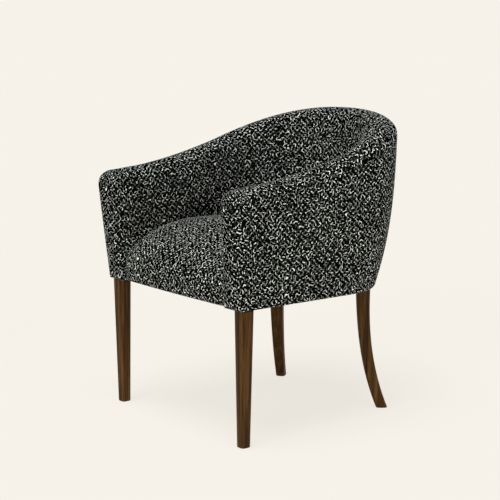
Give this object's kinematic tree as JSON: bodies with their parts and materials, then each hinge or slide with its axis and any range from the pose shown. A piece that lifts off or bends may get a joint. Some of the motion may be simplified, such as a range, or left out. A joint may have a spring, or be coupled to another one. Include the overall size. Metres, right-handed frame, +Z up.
{
  "type": "tub chair",
  "caption": "Upholstered tub chair: a curved back sweeps down into the arms round a deep domed seat, on tapered front legs and sabre rear legs.",
  "frame": {"origin": "on the floor, at the middle of the chair's footprint", "axes": "+Z up, the sitter faces -Y, +X is the sitter's left"},
  "size_m": [0.6218, 0.643, 0.78],
  "materials": {
    "upholstery": "woven cloth, near-black ground with an off-white squiggle",
    "walnut": "satin lacquered walnut",
    "beech": "planed, bare",
    "plywood": "bent birch plywood, bare",
    "foam": "open cell upholstery foam",
    "webbing": "elastic webbing",
    "dust_cloth": "thin non-woven cloth",
    "steel": "zinc plated",
    "nylon": "moulded"
  },
  "bodies": {
    "root": {"front_leg_left": "walnut", "rear_leg_left": "walnut", "front_leg_bolt_left": "steel", "rear_leg_bolt_left": "steel", "front_glide_left": "nylon", "rear_glide_left": "nylon", "arm_post_left": "beech", "side_rail_left": "beech", "front_corner_block_left": "beech", "arm_facing_board_left": "plywood", "arm_front_pad_left": "upholstery", "front_leg_right": "walnut", "rear_leg_right": "walnut", "front_leg_bolt_right": "steel", "rear_leg_bolt_right": "steel", "front_glide_right": "nylon", "rear_glide_right": "nylon", "arm_post_right": "beech", "side_rail_right": "beech", "front_corner_block_right": "beech", "arm_facing_board_right": "plywood", "arm_front_pad_right": "upholstery", "front_rail": "beech", "back_rail": "beech", "top_rail": "beech", "tub_shell": "plywood", "tub_foam": "foam", "seat_foam": "foam", "outer_cover": "upholstery", "inner_cover": "upholstery", "seat_cover": "upholstery", "dust_cover": "dust_cloth", "web_lengthwise_1": "webbing", "web_lengthwise_2": "webbing", "web_lengthwise_3": "webbing", "web_lengthwise_4": "webbing", "web_lengthwise_5": "webbing", "web_crosswise_1": "webbing", "web_crosswise_2": "webbing", "web_crosswise_3": "webbing", "web_crosswise_4": "webbing"}
  },
  "joints": []
}
